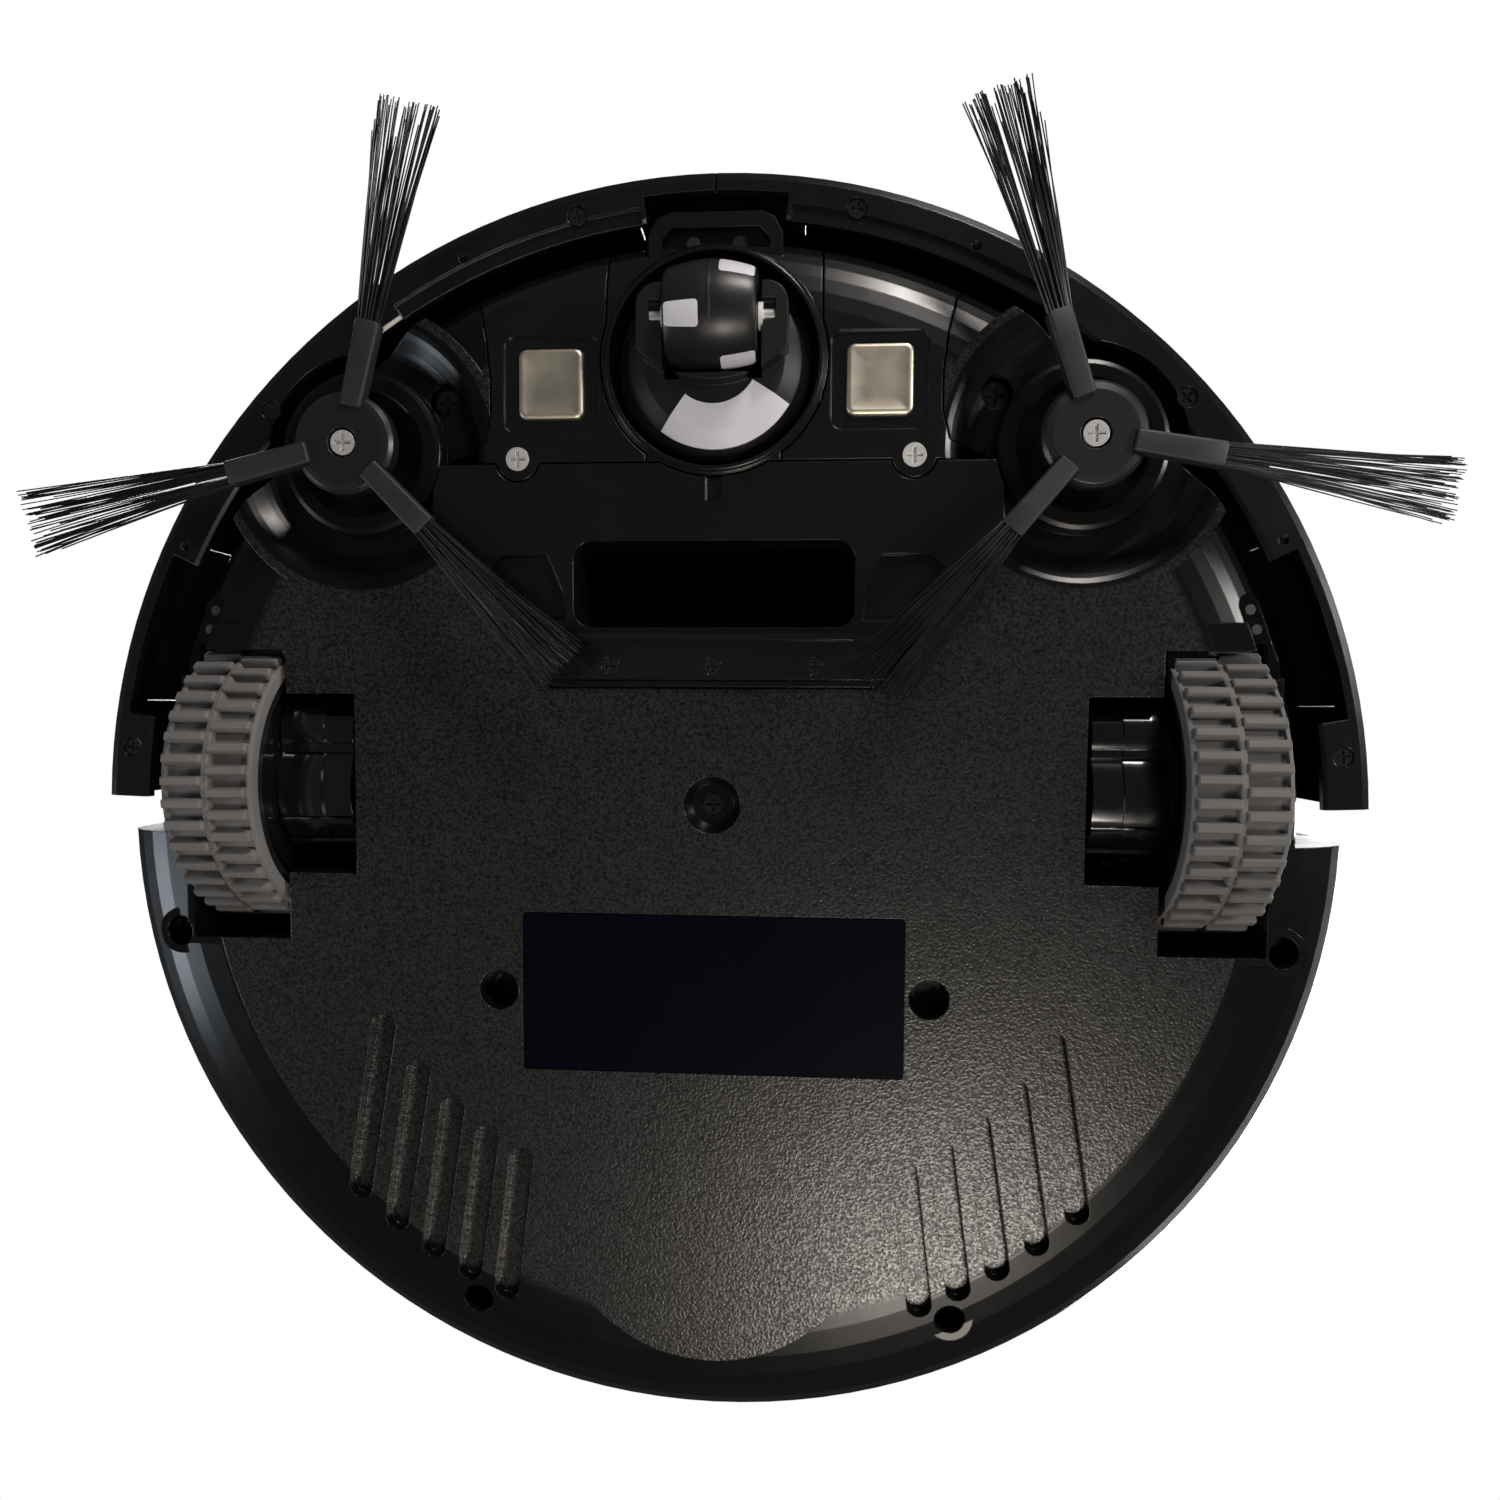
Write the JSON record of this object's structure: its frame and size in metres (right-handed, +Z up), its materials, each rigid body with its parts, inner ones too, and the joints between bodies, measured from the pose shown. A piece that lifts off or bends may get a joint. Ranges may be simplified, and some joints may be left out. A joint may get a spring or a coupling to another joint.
{
  "type": "robot vacuum",
  "caption": "Round low robot vacuum with sprung bumper, drive wheels on suspension arms, swivel caster, spinning side brushes and slide-out dust bin.",
  "frame": {"origin": "centre of the bounding box on the floor that the wheels stand on, bristle tips included", "axes": "+Z up, +Y ahead (the bumper side), +X to the machine's own right"},
  "size_m": [0.2908, 0.285, 0.083],
  "materials": {
    "black_abs": "fine moulded grain, satin",
    "housing_black": "satin",
    "gloss_black": "polished",
    "tyre_grey": "matte rubber",
    "clamp_rubber": "matte rubber",
    "bristle_nylon": "satin nylon fibres",
    "bright_steel": "zinc plated",
    "black_steel": "blackened",
    "contact_nickel": "warm nickel, satin",
    "smoked_lens": "smoked clear plastic",
    "white_plastic": "matt",
    "white_sticker": "satin film",
    "dark_label": "smooth film",
    "grey_plastic": "matt",
    "board_green": "solder mask",
    "battery_wrap": "shrink film",
    "light_guide": "translucent"
  },
  "bodies": {
    "chassis": {"bottom_chassis": "black_abs", "upper_housing": "housing_black", "top_deck": "housing_black", "top_panel": "gloss_black", "front_cover_left": "black_abs", "front_cover_right": "black_abs", "caster_socket": "black_abs", "inlet_cover": "black_abs", "inlet_blade": "clamp_rubber", "cover_screws": "bright_steel", "chassis_screws": "black_steel", "contact_plates": "contact_nickel", "label_plate": "dark_label", "front_cliff_window": "smoked_lens", "side_cliff_windows": "smoked_lens", "cliff_sensors": "white_plastic", "bumper_switches": "grey_plastic", "suspension_pins": "bright_steel", "suspension_springs": "bright_steel", "brush_motors": "grey_plastic", "fan_housing": "grey_plastic", "fan_motor": "bright_steel", "battery_pack": "battery_wrap", "main_board": "board_green", "intake_duct": "grey_plastic", "bin_bay": "grey_plastic", "light_ring": "light_guide", "ir_dome": "smoked_lens", "dc_jack": "grey_plastic"},
    "bumper": {"bumper_shell": "black_abs", "bumper_windows": "smoked_lens", "bumper_screws": "black_steel"},
    "caster": {"caster_fork": "housing_black", "caster_sticker": "white_sticker", "caster_axle": "bright_steel", "caster_bushes": "white_plastic"},
    "caster_roller": {"caster_wheel": "housing_black"},
    "arm_left": {"wheel_arm_left": "gloss_black", "wheel_motor_left": "bright_steel"},
    "arm_right": {"wheel_arm_right": "gloss_black", "wheel_motor_right": "bright_steel"},
    "wheel_left": {"tyre_left": "tyre_grey", "wheel_hub_left": "housing_black"},
    "wheel_right": {"tyre_right": "tyre_grey", "wheel_hub_right": "housing_black"},
    "brush_left": {"brush_hub_left": "housing_black", "brush_clamps_left": "clamp_rubber", "bristles_left": "bristle_nylon", "brush_screw_left": "bright_steel"},
    "brush_right": {"brush_hub_right": "housing_black", "brush_clamps_right": "clamp_rubber", "bristles_right": "bristle_nylon", "brush_screw_right": "bright_steel"},
    "fan_rotor": {"fan_impeller": "white_plastic"},
    "bin": {"dust_bin": "smoked_lens", "bin_lid": "smoked_lens", "bin_filter": "white_plastic"},
    "latch": {"bin_latch": "grey_plastic"},
    "button": {"start_button": "gloss_black"},
    "rocker": {"power_switch": "grey_plastic"}
  },
  "joints": [
    {"name": "bumper_slide", "type": "slide", "parent": "chassis", "child": "bumper", "axis": [0, -1, 0], "range_m": [0, 0.0035], "stiffness_N_per_m": 400, "springref_m": -0.004},
    {"name": "caster_swivel", "type": "hinge", "parent": "chassis", "child": "caster", "pos_m": [0, 0.09345, 0.025], "axis": [0, 0, 1], "continuous": true},
    {"name": "caster_roll", "type": "hinge", "parent": "caster", "child": "caster_roller", "pos_m": [0, 0.10095, 0.011], "axis": [1, 0, 0], "continuous": true},
    {"name": "suspension_left", "type": "hinge", "parent": "chassis", "child": "arm_left", "pos_m": [-0.091, -0.03655, 0.038], "axis": [1, 0, 0], "range_deg": [0, 11], "stiffness_Nm_per_rad": 0.6, "springref_deg": -40.11},
    {"name": "wheel_spin_left", "type": "hinge", "parent": "arm_left", "child": "wheel_left", "pos_m": [-0.1065, 0.00245, 0.033], "axis": [1, 0, 0], "continuous": true},
    {"name": "brush_spin_left", "type": "hinge", "parent": "chassis", "child": "brush_left", "pos_m": [-0.0776, 0.07505, 0.015], "axis": [0, 0, 1], "continuous": true},
    {"name": "suspension_right", "type": "hinge", "parent": "chassis", "child": "arm_right", "pos_m": [0.091, -0.03655, 0.038], "axis": [1, 0, 0], "range_deg": [0, 11], "stiffness_Nm_per_rad": 0.6, "springref_deg": -40.11},
    {"name": "wheel_spin_right", "type": "hinge", "parent": "arm_right", "child": "wheel_right", "pos_m": [0.1065, 0.00245, 0.033], "axis": [1, 0, 0], "continuous": true},
    {"name": "brush_spin_right", "type": "hinge", "parent": "chassis", "child": "brush_right", "pos_m": [0.0776, 0.07505, 0.015], "axis": [0, 0, 1], "continuous": true},
    {"name": "fan_spin", "type": "hinge", "parent": "chassis", "child": "fan_rotor", "pos_m": [0.062, -0.06755, 0.05], "axis": [1, 0, 0], "continuous": true},
    {"name": "bin_slide", "type": "slide", "parent": "chassis", "child": "bin", "axis": [0, -1, 0], "range_m": [0, 0.08]},
    {"name": "latch_press", "type": "slide", "parent": "bin", "child": "latch", "axis": [0, 1, 0], "range_m": [0, 0.0012], "stiffness_N_per_m": 600, "springref_m": -0.0012},
    {"name": "button_press", "type": "slide", "parent": "chassis", "child": "button", "axis": [0, 0, -1], "range_m": [0, 0.0012], "stiffness_N_per_m": 600, "springref_m": -0.0012},
    {"name": "rocker_tilt", "type": "hinge", "parent": "chassis", "child": "rocker", "pos_m": [0.12534, -0.04955, 0.051], "axis": [0, 0, 1], "range_deg": [0, 10]}
  ]
}
